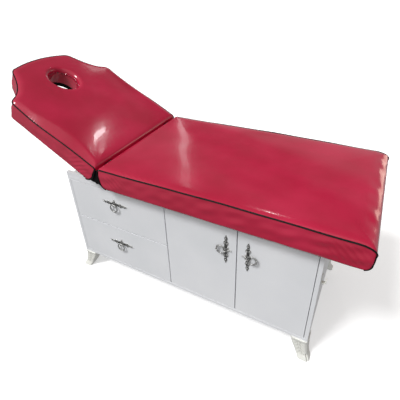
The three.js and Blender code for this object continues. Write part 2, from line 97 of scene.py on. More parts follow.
HOLE_MARGIN = 9.6 * MM  # bare rim between the face hole and the head board
HOLE_RIM = 23 * MM  # radius of the face hole's upper edge
HOLE_SHADE_RINGS = 2  # rings of the hole's wall, from the bottom, that are black: painted shade at the bottom of the face hole
PIPING = 2.8 * MM  # radius
PIPING_TUCK = 1.2 * MM  # how far the piping is drawn in at the foot end
SKIN_STEP = 5 * MM
GUSSET_TUCK = 5 * MM  # how far the gussets reach into the pads
GUSSET_INSET = 4 * MM  # and how far in from the pads' sides they stand


# ---- small maths ----
def smooth(x, low, high):
    t = np.clip((x - low) / (high - low), 0, 1)
    return t * t * (3 - 2 * t)


def bump(x, middle, width):
    return np.exp(-(((x - middle) / width) ** 2))


def quad_curve(a, b, c, steps=16):
    t = np.linspace(0, 1, steps, endpoint=False)[:, None]
    a, b, c = (np.array(p, float) for p in (a, b, c))
    return (1 - t) ** 2 * a + 2 * t * (1 - t) * b + t**2 * c


def cubic_curve(a, b, c, d, steps=24):
    t = np.linspace(0, 1, steps, endpoint=False)[:, None]
    a, b, c, d = (np.array(p, float) for p in (a, b, c, d))
    return (1 - t) ** 3 * a + 3 * t * (1 - t) ** 2 * b + 3 * t**2 * (1 - t) * c + t**3 * d


def resample(points, step):
    """A closed outline with evenly spaced points."""
    closed = np.vstack([points, points[:1]])
    lengths = np.linalg.norm(np.diff(closed, axis=0), axis=1)
    along = np.concatenate([[0], np.cumsum(lengths)])
    count = int(round(along[-1] / step))
    places = np.linspace(0, along[-1], count, endpoint=False)
    return np.stack([np.interp(places, along, closed[:, k]) for k in (0, 1)], 1)


def outward(points):
    """Unit normals of a closed outline that runs counter-clockwise."""
    tangent = np.roll(points, -1, 0) - np.roll(points, 1, 0)
    tangent /= np.linalg.norm(tangent, axis=1)[:, None]
    return np.stack([tangent[:, 1], -tangent[:, 0]], 1)


def distance_to(points, outline):
    """The distance from each point to a closed outline."""
    a = outline
    ab = np.roll(outline, -1, 0) - a
    best = np.full(len(points), np.inf)
    for start in range(0, len(points), 2000):
        p = points[start : start + 2000, None, :] - a[None]
        t = np.clip((p * ab).sum(2) / (ab * ab).sum(1), 0, 1)
        gap = p - t[..., None] * ab
        best[start : start + 2000] = np.sqrt((gap**2).sum(2).min(1))
    return best


def waves(a, b, seed, wavelength, count=7):
    """A smooth seeded ripple of about unit height over two coordinates."""
    random = np.random.default_rng(seed)
    total = np.zeros(np.broadcast(a, b).shape)
    for _ in range(count):
        angle, phase = random.uniform(0, 2 * math.pi, 2)
        length = wavelength * random.uniform(0.7, 1.5)
        total += np.sin(2 * math.pi * (a * math.cos(angle) + b * math.sin(angle)) / length + phase)
    return total / math.sqrt(count)


# ---- materials ----
def srgb(red, green, blue):
    def linear(value):
        value /= 255
        return value / 12.92 if value <= 0.04045 else ((value + 0.055) / 1.055) ** 2.4

    return (linear(red), linear(green), linear(blue), 1)


class Finish:
    """A Principled material with a colour, roughness and bump that vary over the surface."""

    def __init__(self, name, **sockets):
        self.material = bpy.data.materials.new(name)
        self.material.use_nodes = True
        self.tree = self.material.node_tree
        self.shader = self.tree.nodes["Principled BSDF"]
        for socket, value in sockets.items():
            self.shader.inputs[socket.replace("_", " ")].default_value = value
        self.place = self.tree.nodes.new("ShaderNodeTexCoord").outputs["Object"]
        self.normal = None

    def stretch(self, x, y, z):
        mapping = self.tree.nodes.new("ShaderNodeMapping")
        mapping.inputs["Scale"].default_value = (x, y, z)
        self.tree.links.new(self.place, mapping.inputs["Vector"])
        return mapping.outputs["Vector"]

    def noise(self, scale, detail=3, place=None):
        node = self.tree.nodes.new("ShaderNodeTexNoise")
        node.inputs["Scale"].default_value = scale
        node.inputs["Detail"].default_value = detail
        self.tree.links.new(place or self.place, node.inputs["Vector"])
        return node.outputs["Fac"]

    def cells(self, scale, place=None):
        node = self.tree.nodes.new("ShaderNodeTexVoronoi")
        node.feature = "DISTANCE_TO_EDGE"
        node.inputs["Scale"].default_value = scale
        self.tree.links.new(place or self.place, node.inputs["Vector"])
        return node.outputs["Distance"]

    def ramp(self, factor, stops):
        node = self.tree.nodes.new("ShaderNodeValToRGB")
        elements = node.color_ramp.elements
        while len(elements) < len(stops):
            elements.new(0.5)
        for element, (position, color) in zip(elements, stops):
            element.position = position
            element.color = color
        self.tree.links.new(factor, node.inputs["Fac"])
        return node.outputs["Color"]

    def color(self, factor, stops):
        self.tree.links.new(self.ramp(factor, stops), self.shader.inputs["Base Color"])
        return self

    def roughness(self, factor, low, high):
        node = self.tree.nodes.new("ShaderNodeMapRange")
        node.inputs["From Min"].default_value = 0.3
        node.inputs["From Max"].default_value = 0.7
        node.inputs["To Min"].default_value = low
        node.inputs["To Max"].default_value = high
        self.tree.links.new(factor, node.inputs["Value"])
        self.tree.links.new(node.outputs["Result"], self.shader.inputs["Roughness"])
        return self

    def bump(self, height, distance, strength):
        node = self.tree.nodes.new("ShaderNodeBump")
        node.inputs["Distance"].default_value = distance
        node.inputs["Strength"].default_value = strength
        self.tree.links.new(height, node.inputs["Height"])
        if self.normal:
            self.tree.links.new(self.normal, node.inputs["Normal"])
        self.normal = node.outputs["Normal"]
        self.tree.links.new(self.normal, self.shader.inputs["Normal"])
        return self


def vinyl():
    finish = Finish("crimson_vinyl", Coat_Weight=0.25, Coat_Roughness=0.05, Specular_IOR_Level=0.5)
    deep, mid, light = srgb(173, 20, 54), srgb(183, 24, 61), srgb(194, 30, 69)
    finish.color(finish.noise(5.5, 4), [(0.3, deep), (0.52, mid), (0.75, light)])
    finish.roughness(finish.noise(9, 5), 0.12, 0.22)
    finish.bump(finish.noise(26, 2), 0.5 * MM, 0.12)
    return finish.bump(finish.cells(750), 0.12 * MM, 0.22).material


def piping_vinyl():
    finish = Finish("black_piping", Specular_IOR_Level=0.2)
    finish.color(finish.noise(60, 3), [(0.3, srgb(5, 4, 4)), (0.75, srgb(14, 10, 12))])
    finish.roughness(finish.noise(90, 3), 0.4, 0.6)
    return finish.bump(finish.cells(900), 0.1 * MM, 0.3).material


# Black cloth for the fold ends, the gussets and the lower wall of the face hole; its black is partly painted
# shade, of the wedge between the pads and of the bottom of the hole.
def cloth_and_painted_shade():
    finish = Finish("black_cloth_and_shade", Specular_IOR_Level=0.15)
    finish.color(finish.noise(300, 2), [(0.3, srgb(7, 7, 8)), (0.75, srgb(16, 15, 16))])
    finish.roughness(finish.noise(200, 2), 0.75, 0.95)
    return finish.bump(finish.cells(1400), 0.2 * MM, 0.5).material


def melamine():
    finish = Finish("white_melamine", Coat_Weight=0.12, Coat_Roughness=0.25)
    shades = [(0.3, srgb(225, 227, 230)), (0.55, srgb(232, 233, 236)), (0.8, srgb(237, 238, 240))]
    finish.color(finish.noise(3.2, 4), shades)
    finish.roughness(finish.noise(14, 4), 0.3, 0.42)
    finish.bump(finish.noise(420, 2), 0.1 * MM, 0.16)
    return finish.bump(finish.noise(5, 2), 1.2 * MM, 0.06).material


def plywood():
    finish = Finish("plywood")
    grain = finish.noise(9, 6, finish.stretch(1.5, 26, 60))
    shades = [(0.25, srgb(134, 100, 66)), (0.5, srgb(172, 136, 95)), (0.8, srgb(196, 163, 120))]
    finish.color(grain, shades)
    finish.roughness(grain, 0.6, 0.8)
    return finish.bump(grain, 0.5 * MM, 0.35).material


def painted_steel():
    finish = Finish("black_steel", Metallic=0.1)
    finish.color(finish.noise(70, 4), [(0.3, srgb(16, 16, 17)), (0.7, srgb(34, 34, 35))])
    finish.roughness(finish.noise(40, 4), 0.36, 0.55)
    return finish.bump(finish.noise(900, 2), 0.1 * MM, 0.3).material


def zinc():
    finish = Finish("zinc_steel", Metallic=1.0)
    shades = [(0.3, srgb(168, 171, 174)), (0.7, srgb(202, 204, 206))]
    finish.color(finish.noise(45, 4), shades)
    finish.roughness(finish.noise(18, 5, finish.stretch(1, 30, 1)), 0.24, 0.42)
    return finish.bump(finish.noise(60, 3, finish.stretch(1, 40, 1)), 0.05 * MM, 0.3).material


def pewter():
    finish = Finish("pewter", Metallic=0.92)
    tree = finish.tree
    hollow = tree.nodes.new("ShaderNodeNewGeometry").outputs["Pointiness"]
    shades = [(0.44, srgb(14, 14, 15)), (0.5, srgb(82, 82, 83)), (0.57, srgb(214, 214, 212))]
    finish.color(hollow, shades)
    finish.roughness(finish.noise(160, 4), 0.26, 0.5)
    return finish.bump(finish.noise(700, 3), 0.15 * MM, 0.35).material


def cream():
    finish = Finish("cream_gloss", Coat_Weight=0.5, Coat_Roughness=0.1)
    # Darker in the crevices and lighter on the ridges, by pointiness: painted shade and painted highlight on the
    # foot.
    hollow = finish.tree.nodes.new("ShaderNodeNewGeometry").outputs["Pointiness"]
    shades = [(0.42, srgb(168, 166, 156)), (0.5, srgb(228, 228, 221)), (0.58, srgb(246, 246, 241))]
    finish.color(hollow, shades)
    finish.roughness(finish.noise(50, 4), 0.16, 0.3)
    return finish.bump(finish.noise(120, 3), 0.25 * MM, 0.2).material


def moulded_plastic():
    finish = Finish("black_plastic")
    finish.color(finish.noise(60, 3), [(0.3, srgb(16, 16, 17)), (0.7, srgb(30, 30, 31))])
    finish.roughness(finish.noise(80, 3), 0.38, 0.55)
    return finish.bump(finish.noise(1300, 2), 0.1 * MM, 0.35).material


FINISHES = {
    "crimson_vinyl": vinyl(),
    "plywood": plywood(),
    "white_melamine": melamine(),
    "black_steel": painted_steel(),
    "zinc_steel": zinc(),
    "pewter": pewter(),
    "cream_gloss": cream(),
    "black_plastic": moulded_plastic(),
}
BLACK_PIPING = piping_vinyl()
BLACK_CLOTH_AND_SHADE = cloth_and_painted_shade()


# ---- mesh building ----
def add_piece(name, points, faces, body, slot, materials=None, picks=None, sharp=None):
    mesh = bpy.data.meshes.new(name)
    mesh.from_pydata([tuple(p) for p in points], [], [tuple(int(i) for i in f) for f in faces])
    for material in materials or [FINISHES[slot]]:
        mesh.materials.append(material)
    if picks is not None:
        mesh.polygons.foreach_set("material_index", np.asarray(picks, np.int32))
    form = bmesh.new()
    form.from_mesh(mesh)
    bmesh.ops.remove_doubles(form, verts=form.verts, dist=0.01 * MM)
    loose = [v for v in form.verts if not v.link_faces]
    bmesh.ops.delete(form, geom=loose, context="VERTS")
    bmesh.ops.recalc_face_normals(form, faces=form.faces)
    form.to_mesh(mesh)
    form.free()
    mesh.shade_smooth()
    if sharp:
        mesh.set_sharp_from_angle(angle=math.radians(sharp))
    piece = bpy.data.objects.new(name, mesh)
    bpy.context.scene.collection.objects.link(piece)
    if body is not None:
        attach(piece, body)
    return piece


def ring_faces(rings, count, close_rings=False, close_round=True):
    """Quads between neighbouring rings of count points each."""
    r, k = np.meshgrid(
        np.arange(rings if close_rings else rings - 1),
        np.arange(count if close_round else count - 1),
        indexing="ij",
    )
    r, k = r.ravel(), k.ravel()
    up, on = (r + 1) % rings, (k + 1) % count
    return np.stack([r * count + k, r * count + on, up * count + on, up * count + k], 1)


def tube(path, radii, sides=10, closed=False):
    """A round bar along a path, as points and faces. The radius may vary along it."""
    path = np.asarray(path, float)
    radii = np.broadcast_to(radii, len(path))
    if closed:
        tangent = np.roll(path, -1, 0) - np.roll(path, 1, 0)
    else:
        tangent = np.gradient(path, axis=0)
    tangent /= np.linalg.norm(tangent, axis=1)[:, None]
    normal = np.cross(tangent[0], [0.31, 0.17, 0.93])
    if np.linalg.norm(normal) < 0.2:
        normal = np.cross(tangent[0], [1, 0, 0])
    turns = 2 * math.pi * np.arange(sides) / sides
    rings = []
    for point, along, radius in zip(path, tangent, radii):
        normal = normal - along * normal.dot(along)
        normal /= np.linalg.norm(normal)
        across = np.cross(along, normal)
        rings.append(point + radius * (np.cos(turns)[:, None] * normal + np.sin(turns)[:, None] * across))
    faces = [tuple(f) for f in ring_faces(len(rings), sides, close_rings=closed)]
    if not closed:
        last = (len(rings) - 1) * sides
        faces += [tuple(reversed(range(sides))), tuple(range(last, last + sides))]
    return np.vstack(rings), faces


def lathe(profile, sides=20):
    """A profile of (radius, height) turned about the Z axis, closed where it meets the axis."""
    turns = 2 * math.pi * np.arange(sides) / sides
    rings = [
        np.stack([r * np.cos(turns), r * np.sin(turns), np.full(sides, h)], 1) for r, h in profile
    ]
    return np.vstack(rings), [tuple(f) for f in ring_faces(len(rings), sides)]


def merge(*shapes):
    points, faces, start = [], [], 0
    for some_points, some_faces in shapes:
        points.append(some_points)
        faces += [tuple(i + start for i in face) for face in some_faces]
        start += len(some_points)
    return np.vstack(points), faces


def moved(shape, matrix):
    points, faces = shape
    turn = np.array(matrix.to_3x3())
    return points @ turn.T + np.array(matrix.translation), faces


# ---- camera, light, floor and backdrop ----
def add_camera():
    camera = bpy.data.objects.new("camera", bpy.data.cameras.new("camera"))
    bpy.context.scene.collection.objects.link(camera)
    heading, pitch, roll = (math.radians(a) for a in (30.0, -30.647, -2.618))
    turn = Matrix.Rotation(heading, 4, "Z") @ Matrix.Rotation(math.pi / 2 + pitch, 4, "X")
    camera.matrix_world = (
        Matrix.Translation((0.7752, -1.2165, 1.4266)) @ turn @ Matrix.Rotation(roll, 4, "Z")
    )
    camera.data.lens = 30.72
    camera.data.sensor_width = 36
    camera.data.shift_x = 0.020
    camera.data.shift_y = -0.0748
    bpy.context.scene.camera = camera


def add_softbox(name, place, target, width, height, power, color=(1, 1, 1)):
    light = bpy.data.lights.new(name, "AREA")
    light.shape = "RECTANGLE"
    light.size = width
    light.size_y = height
    light.energy = power
    light.color = color
    lamp = bpy.data.objects.new(name, light)
    bpy.context.scene.collection.objects.link(lamp)
    lamp.visible_camera = False
    lamp.location = place
    lamp.rotation_euler = (Vector(target) - Vector(place)).to_track_quat("-Z", "Y").to_euler()


def add_sun(name, direction, spread_degrees, strength):
    light = bpy.data.lights.new(name, "SUN")
    light.energy = strength
    light.angle = math.radians(spread_degrees)
    sun = bpy.data.objects.new(name, light)
    bpy.context.scene.collection.objects.link(sun)
    sun.rotation_euler = Vector(direction).to_track_quat("Z", "Y").to_euler()


def add_studio():
    """Soft light that is brightest from the front and above, two suns and three lamps."""
    world = bpy.data.worlds.new("studio")
    world.use_nodes = True
    tree = world.node_tree
    background = tree.nodes["Background"]
    towards = tree.nodes.new("ShaderNodeVectorMath")
    towards.operation = "DOT_PRODUCT"
    towards.inputs[1].default_value = (-0.25, -0.75, 0.60)
    tree.links.new(tree.nodes.new("ShaderNodeTexCoord").outputs["Generated"], towards.inputs[0])
    spread = tree.nodes.new("ShaderNodeMapRange")
    spread.inputs["From Min"].default_value = -1
    tree.links.new(towards.outputs["Value"], spread.inputs["Value"])
    shades = tree.nodes.new("ShaderNodeValToRGB")
    stops = [
        (0.16, 0.46), (0.3, 0.40), (0.345, 0.12), (0.38, 0.10), (0.42, 0.32),
        (0.46, 0.19), (0.6, 0.24), (0.75, 0.46), (1, 0.62),
    ]
    while len(shades.color_ramp.elements) < len(stops):
        shades.color_ramp.elements.new(0.5)
    for element, (position, grey) in zip(shades.color_ramp.elements, stops):
        element.position = position
        element.color = (grey, grey, grey, 1)
    tree.links.new(spread.outputs["Result"], shades.inputs["Fac"])
    tree.links.new(shades.outputs["Color"], background.inputs["Color"])
    bpy.context.scene.world = world
    bpy.context.scene.view_settings.view_transform = "Standard"
    add_sun("key", (-0.30, -0.50, 0.81), 14, 2.1)
    add_sun("fill", (0.1, -0.5, 0.85), 80, 0.35)
    add_softbox("window", (-1.48, 2.4, 2.15), (0.0, 0, 0.71), 0.12, 1.4, 0.9)
    add_softbox("lamp", (-0.26, 2.4, 3.95), (-0.32, -0.13, 0.78), 0.13, 0.25, 3)
    add_softbox("side_window", (1.95, 2.15, 0.95), (0.87, 0, 0.7), 0.9, 0.9, 5.5, (1, 0.72, 0.58))


def surround(name, points, faces, finish):
    """A surface around the object, left out of the object's reflections and bounced light."""
    mesh = bpy.data.meshes.new(name)
    mesh.from_pydata([tuple(p) for p in points], [], faces)
    mesh.materials.append(finish.material)
    surface = bpy.data.objects.new(name, mesh)
    bpy.context.scene.collection.objects.link(surface)
    surface.visible_diffuse = False
    surface.visible_glossy = False
    return surface


def add_floor(half=80):
    corners = [(-half, -half, 0), (half, -half, 0), (half, half, 0), (-half, half, 0)]
    finish = Finish(
        "pale_floor", Specular_IOR_Level=0.1, Emission_Color=(1, 1, 1, 1), Emission_Strength=0.34
    )
    finish.color(finish.noise(0.8, 2), [(0.3, srgb(243, 243, 243)), (0.7, srgb(247, 247, 247))])
    finish.roughness(finish.noise(3, 2), 0.6, 0.75)
    floor = surround("floor", corners, [(0, 1, 2, 3)], finish)


def add_backdrop(radius=75, height=60, sides=64):
    """A pale wall far behind the object on every side, which casts no light or shadow on it."""
    turns = np.linspace(0, 2 * math.pi, sides, endpoint=False)
    foot = np.stack([radius * np.cos(turns), radius * np.sin(turns), np.full(sides, -1.0)], 1)
    points = np.vstack([foot, foot + [0, 0, height]])
    faces = [(k, (k + 1) % sides, (k + 1) % sides + sides, k + sides) for k in range(sides)]
    finish = Finish(
        "pale_backdrop", Specular_IOR_Level=0, Emission_Color=(1, 1, 1, 1), Emission_Strength=0.9
    )
    finish.color(finish.noise(0.05, 2), [(0.3, srgb(240, 240, 240)), (0.7, srgb(246, 246, 246))])
    wall = surround("backdrop", points, faces, finish)
    wall.visible_shadow = False


add_camera()
add_studio()
add_floor()
add_backdrop()


# ---- pad outlines, in (s, y): s runs from the fold towards the pad's far end ----
def main_outline():
    low, high, side = FOLD_GAP, MAIN_LENGTH, HALF_WIDTH
    fold_corner, foot_corner = 5 * MM, 9 * MM
    points = np.vstack([
        quad_curve((low, -side + fold_corner), (low, -side), (low + fold_corner, -side), 6),
        quad_curve((high - foot_corner, -side), (high, -side), (high, -side + foot_corner), 10),
        quad_curve((high, side - foot_corner), (high, side), (high - foot_corner, side), 10),
        quad_curve((low + fold_corner, side), (low, side), (low, side - fold_corner), 6),
    ])
    return resample(points, SKIN_STEP)


def head_outline():
    side = HALF_WIDTH / MM
    low = FOLD_GAP / MM
    front = np.vstack([
        quad_curve((low, -side + 5), (low, -side), (low + 5, -side), 6),
        quad_curve((490, -side), (510, -side), (520, -side + 24)),
        cubic_curve((520, -side + 24), (545, -246), (600, -214), (660, -188)),
        quad_curve((660, -188), (686, -176), (690, -148)),
        quad_curve((690, -148), (2 * HEAD_LENGTH / MM - 690, 0), (690, 148), 32)[:17],
    ])
    rear = (front * [1, -1])[::-1][1:]
    return resample(np.vstack([front, rear]) * MM, SKIN_STEP)


# ---- shape of a pad's skin ----
def crown(depth):
    """Height of the top above the pad's edge, at a depth in from the edge."""
    shoulder = np.sqrt(1 - (1 - np.clip(depth / CROWN_SHOULDER, 0, 1)) ** 2)
    return CROWN_RISE * (0.6 * shoulder + 0.4 * (1 - np.exp(-depth / 0.07)))


def corner_drop(distance, run, drop):
    """How far an edge falls as it rounds a corner, at a distance from the end."""
    inside = np.clip(1 - distance / run, 0, 1)
    return drop * (1 - np.sqrt(1 - inside**2))


def seam_shift(s, far_end):
    """The seam rides up the middle of the main pad, and dips along the head pad (far_end None)."""
    if far_end is None:
        return -HEAD_SEAM_DIP["height"] * bump(s, HEAD_SEAM_DIP["middle"], HEAD_SEAM_DIP["width"])
    return MAIN_SEAM_LIFT["height"] * bump(s, MAIN_SEAM_LIFT["middle"], MAIN_SEAM_LIFT["width"])


def edge_height(s, far_end):
    """Height of the seam along a pad's top edge."""
    height = PAD_EDGE - corner_drop(s - FOLD_GAP, CORNER_RUN, CORNER_DROP) + seam_shift(s, far_end)
    return height if far_end is None else height - corner_drop(far_end - s, FOOT_RUN, FOOT_DROP)


def fold_face(z, y, lip=5.0 * MM):
    """How far the end face at the fold stands from the fold plane."""
    lower = np.clip((PAD_BOTTOM + FOLD_ROUND - z) / FOLD_ROUND, 0, 1)
    rounding = FOLD_ROUND * (1 - np.sqrt(1 - lower**2))
    beside_strap = smooth(np.abs(np.abs(y) - STRAP_MIDDLE), STRAP_HALF + 2 * MM, STRAP_HALF + 14 * MM)
    inside_corner = smooth(HALF_WIDTH - np.abs(y), 4 * MM, 16 * MM)
    return FOLD_GAP + rounding - lip * bump(z, 684 * MM, 8 * MM) * beside_strap * inside_corner


def foot_face(z, far_end):
    """Where the foot end's face stands at a height."""
    lower = np.clip((PAD_BOTTOM + FOOT_ROUND - z) / FOOT_ROUND, 0, 1)
    taper = FOOT_TAPER * np.clip((PAD_EDGE - z) / (PAD_EDGE - PAD_BOTTOM), 0, 1)
    return far_end - taper - FOOT_ROUND * (1 - np.sqrt(1 - lower**2))


def shape_ends(s, y, z, far_end):
    """Moves points along the pad so that its ends follow their side profiles."""
    near = 1 - smooth(s, FOLD_GAP, 130 * MM)
    s = s + near * (fold_face(z, y) - FOLD_GAP)
    if far_end is not None:
        near = smooth(s, far_end - 110 * MM, far_end)
        s = s - near * (far_end - foot_face(z, far_end))
    return s


def band_folds(s, z, edge):
    """Diagonal folds in the side band, near the fold and near the main pad's foot end."""
    phase = (s + 1.1 * (z - PAD_BOTTOM)) / (29 * MM)
    ridge = (0.5 + 0.5 * np.cos(2 * math.pi * phase)) ** 3
    near_fold = bump(s, 85 * MM, 55 * MM)
    near_end = 0.9 * bump(s, MAIN_LENGTH - 75 * MM, 60 * MM)
    inside = smooth(z, PAD_BOTTOM, PAD_BOTTOM + 20 * MM) * smooth(edge - z, 2 * MM, 18 * MM)
    slow = 0.7 * MM * waves(s, 2.0 * z, 5, 90 * MM)
    return (2.2 * MM * ridge * (near_fold + near_end) + 1.6 * slow) * inside


def puckers(along, depth):
    """Small gathers where the cover is sewn to the piping."""
    return 0.35 * MM * np.sin(2 * math.pi * along / (15 * MM)) * np.exp(-depth / (7 * MM))


def main_wrinkles(s, y, depth):
    """Pleats along the front edge, a crease and crumples at the foot end, and a slow swell."""
    front = y + HALF_WIDTH
    end = MAIN_LENGTH - s
    phase = (s + 2.0 * front) / (31 * MM) + 0.25 * np.sin(s / (47 * MM))
    pleat = (0.5 + 0.5 * np.cos(2 * math.pi * phase)) ** 3
    stretch = smooth(s, 95 * MM, 150 * MM) * (1 - smooth(s, 270 * MM, 340 * MM))
    pleats = 1.7 * MM * pleat * stretch * np.exp(-((front / (30 * MM)) ** 2)) * smooth(front, 1 * MM, 8 * MM)
    fold_line = 42 * MM + 3 * MM * np.sin(y / (60 * MM))
    crease = -1.2 * MM * bump(end, fold_line, 6 * MM) * (0.7 + 0.3 * np.sin(y / (38 * MM) + 1))
    crumple = 1.1 * MM * waves(s, 0.6 * y, 11, 48 * MM) * bump(end, 20 * MM, 22 * MM)
    swell = 0.8 * MM * waves(s, y, 3, 260 * MM) * smooth(depth, 10 * MM, 80 * MM)
    return pleats + crease + crumple * smooth(end, 2 * MM, 10 * MM) + swell


def head_wrinkles(s, y, depth):
    """Ridges from the corner at the fold, creases by the hole, a sloping front strip and a swell."""
    front = y + HALF_WIDTH
    reach = np.hypot(s, front) + 1e-9
    angle = np.degrees(np.arctan2(s, front))
    ridges = 0.7 * MM * bump(angle, 58 + 9 * reach / 0.2, 8) + 0.7 * MM * bump(angle, 27, 6)
    fade = smooth(reach, 12 * MM, 60 * MM) * (1 - smooth(reach, 70 * MM, 190 * MM))
    beside = np.hypot((s - HOLE["s"] + 30 * MM) / (60 * MM), (y + 105 * MM) / (30 * MM))
    creases = 0.7 * MM * waves(s, 2.5 * y, 21, 60 * MM) * np.exp(-(beside**2))
    swell = 0.4 * MM * waves(s, y, 8, 230 * MM) * smooth(depth, 10 * MM, 80 * MM)
    wide = (18 + 40 * bump(s, 200 * MM, 150 * MM)) * MM
    facet = crown(wide) * np.clip(front / wide, 0, 1) - crown(np.minimum(front, wide))
    facet = facet * (1 - seam_shift(s, None) / CROWN_RISE) * smooth(s, FOLD_GAP, 45 * MM)
    facet = facet * (1 - smooth(s, 400 * MM, 510 * MM))
    return ridges * fade * smooth(depth, 1 * MM, 14 * MM) + facet + creases + swell


def top_rings(outline, inner, shares, wrinkles, far_end):
    """The crown from its inner edge out to the seam."""
    rings = []
    for share in shares:
        flat = inner + (outline - inner) * share
        depth = distance_to(flat, outline) if share < 1 else np.zeros(len(flat))
        s, y = flat[:, 0], flat[:, 1]
        seam = edge_height(s, far_end)
        z = seam + crown(depth) * (1 - seam_shift(s, far_end) / CROWN_RISE) + wrinkles(s, y, depth)
        along = np.arange(len(flat)) * SKIN_STEP
        z = z + puckers(along, depth)
        rings.append(np.stack([shape_ends(s, y, z, far_end), y, z], 1))
    return rings


def side_rings(outline, normals, far_end, levels=18):
    """The side band, from the seam down to the lower edge."""
    s, y = outline[:, 0], outline[:, 1]
    seam = edge_height(s, far_end)
    at_fold = s < FOLD_GAP + 6 * MM
    rings = []
    for share in np.linspace(0, 1, levels + 1)[1:]:
        z = seam + (PAD_BOTTOM - seam) * share
        out = BAND_BULGE * math.sin(math.pi * share) ** 0.8 - 1.0 * MM * math.exp(-share / 0.06)
        out = out + band_folds(s, z, seam)
        rise = np.clip((LOWER_ROUND - (z - PAD_BOTTOM)) / LOWER_ROUND, 0, 1)
        out = out - LOWER_ROUND * (1 - np.sqrt(1 - rise**2)) * 0.7
        out = np.where(at_fold, 0, out)
        wavy = 0.7 * MM * waves(s, y, 31, 130 * MM) * smooth(share, 0.8, 1)
        flat = outline + normals * out[:, None]
        droop = BAND_DROOP * smooth(share, 0.6, 1) if far_end is not None else 0
        height = z - np.where(at_fold, 0, wavy + droop)
        rings.append(np.stack([shape_ends(flat[:, 0], flat[:, 1], z, far_end), flat[:, 1], height], 1))
    return rings


def pocket_edge(outline, normals, length):
    """The edge of the recess that holds the plywood board."""
    inset = outline - normals * POCKET["side"]
    s = np.clip(inset[:, 0], POCKET["fold"], length - POCKET["far"])
    reach = HALF_WIDTH - POCKET["side"]
    return np.stack([s, np.clip(inset[:, 1], -reach, reach)], 1)


def level(flat, z):
    return np.column_stack([flat, np.full(len(flat), z)])


def hole_outline(outline, grow=0.0):
    """The face hole's oval, each point in line with one of the pad's outline."""
    offset = outline - [HOLE["s"], 0]
    angle = np.arctan2(offset[:, 1] / HOLE["half_width"], offset[:, 0] / HOLE["half_length"])
    oval = np.stack([
        (HOLE["half_length"] + grow) * np.cos(angle),
        (HOLE["half_width"] + grow) * np.sin(angle),
    ], 1)
    return oval + [HOLE["s"], 0]


def add_skin(name, rings, outline, first_side, body, to_row, closed, shaded_rings=0):
    rings = np.array(rings)
    count = len(outline)
    faces = ring_faces(len(rings), count, close_rings=closed)
    at_fold = outline[:, 0] < FOLD_GAP + 3 * MM
    ring_index, place = faces[:, 0] // count, faces[:, 0] % count
    # Black faces: the fold ends below the seam, partly a black cloth end and partly painted shade of the wedge
    # between the pads, and the lowest rings of the face hole's wall, painted shade.
    black = (at_fold[place] & (ring_index >= first_side + 1)) | (ring_index < shaded_rings)
    points = to_row(rings.reshape(-1, 3))
    piece = add_piece(
        name, points, faces, body, "crimson_vinyl",
        [FINISHES["crimson_vinyl"], BLACK_CLOTH_AND_SHADE], black.astype(int),
    )
    return piece


def main_to_row(points):
    return points + np.array([PIVOT.x, 0, 0])


def head_to_row(points):
    x, y, z = -points[:, 0], points[:, 1], points[:, 2] - PIVOT.z
    c, s = math.cos(REST_TILT), math.sin(REST_TILT)
    return np.stack([PIVOT.x + x * c + z * s, y, PIVOT.z - x * s + z * c], 1)


def add_main_pad():
    outline = main_outline()
    normals = outward(outline)
    half = HALF_WIDTH
    spine = np.stack([np.clip(outline[:, 0], half, MAIN_LENGTH - half), np.zeros(len(outline))], 1)
    depths = np.concatenate([np.geomspace(1.5, 30, 10), np.linspace(36, 325, 26)]) * MM
    shares = np.concatenate([1 - depths[::-1] / half, [1]])
    rings = top_rings(outline, spine, np.clip(shares, 0, 1), main_wrinkles, MAIN_LENGTH)
    first_side = len(rings) - 1
    rings += side_rings(outline, normals, MAIN_LENGTH)
    pocket = pocket_edge(outline, normals, MAIN_LENGTH)
    rings += [level(pocket, PAD_BOTTOM), level(pocket, POCKET["top"])]
    rings += [level(pocket + (spine - pocket) * t, POCKET["top"]) for t in (0.5, 1)]
    piece = add_skin("main_pad_cover", rings, outline, first_side, "cabinet", main_to_row, False)
    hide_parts("main_pad")


def add_head_pad():
    outline = head_outline()
    normals = outward(outline)
    hole = hole_outline(outline)
    rim = HOLE_RIM
    wall_top = PAD_TOP - rim
    rings = [level(hole, z) for z in np.linspace(PAD_BOTTOM, wall_top, 9)]
    shares = np.concatenate([0.9 * np.linspace(0, 1, 46) ** 1.5, 1 - np.geomspace(0.09, 0.008, 10), [1]])
    crown_rings = top_rings(outline, hole, shares, head_wrinkles, None)
    for ring in crown_rings:
        gap = distance_to(ring[:, :2], hole)
        fall = rim - np.sqrt(np.clip(rim**2 - np.clip(rim - gap, 0, rim) ** 2, 0, None))
        ring[:, 2] -= fall
    rings += crown_rings
    first_side = len(rings) - 1
    rings += side_rings(outline, normals, None)
    pocket = pocket_edge(outline, normals, HEAD_LENGTH)
    margin = hole_outline(outline, HOLE_MARGIN)
    rings += [level(pocket, PAD_BOTTOM), level(pocket, POCKET["top"])]
    rings += [level(pocket + (margin - pocket) * t, POCKET["top"]) for t in (0.5, 1)]
    rings += [level(margin, PAD_BOTTOM)]
    piece = add_skin(
        "head_pad_cover", rings, outline, first_side, "head_section", head_to_row, True, shaded_rings=HOLE_SHADE_RINGS
    )
    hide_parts("head_pad")


def end_run(side, z_from, z_to):
    """Piping down the end of a side panel at the fold."""
    z = np.linspace(z_from, z_to, 26)
    s = fold_face(z, side * HALF_WIDTH, lip=0)
    return np.stack([s, np.full(len(z), side * (HALF_WIDTH + SEAM_OUT)), z], 1)


